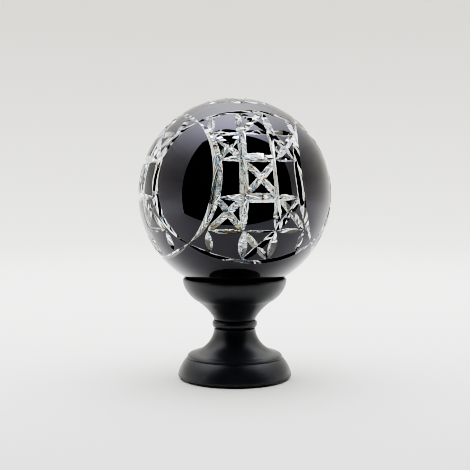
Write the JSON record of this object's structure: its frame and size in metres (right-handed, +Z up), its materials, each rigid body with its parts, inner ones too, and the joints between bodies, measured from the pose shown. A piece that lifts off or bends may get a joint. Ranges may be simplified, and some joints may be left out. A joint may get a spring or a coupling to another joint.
{
  "type": "crystal ball on pedestal",
  "caption": "Cut crystal ball, black casing over clear glass, that unscrews from a turned satin black pedestal with a cup, bead, trumpet stem and round foot.",
  "frame": {"origin": "centre of the felt pad's underside, where the object stands", "axes": "+Z up along the axis of the pedestal and the ball; +Y away from the side seen first"},
  "size_m": [0.1, 0.1, 0.1457],
  "materials": {
    "cased_crystal": "opaque glossy black casing with polished clear V cuts through it",
    "black_lacquer": "satin black, turned and lacquered",
    "brass": "turned, unpolished",
    "zinced_steel": "bright zinc plate",
    "black_rubber": "smooth moulded",
    "cement": "set plaster cement",
    "red_fibre": "vulcanised fibre sheet",
    "black_felt": "pressed wool felt"
  },
  "bodies": {
    "stand": {"cup_bowl": "black_lacquer", "collar_bead": "black_lacquer", "trumpet_stem": "black_lacquer", "foot_base": "black_lacquer", "felt_pad": "black_felt", "tie_rod": "zinced_steel", "cup_washer": "zinced_steel", "cup_nut": "zinced_steel", "foot_washer": "zinced_steel", "foot_nut": "zinced_steel", "fibre_washer": "red_fibre"},
    "seat_ring": {"seat_gasket": "black_rubber"},
    "ball": {"crystal_ball": "cased_crystal", "neck_cement": "cement", "neck_ferrule": "brass"}
  },
  "joints": [
    {"name": "ball_turn", "type": "hinge", "parent": "stand", "child": "seat_ring", "pos_m": [0, 0, 0.0507], "axis": [0, 0, 1], "range_deg": [0, 2880]},
    {"name": "ball_rise", "type": "slide", "parent": "seat_ring", "child": "ball", "axis": [0, 0, 1], "range_m": [0, 0.01001]}
  ],
  "couplings": [
    {"joint": "ball_rise", "follows": "ball_turn", "m_per_rad": 0.00019894}
  ]
}
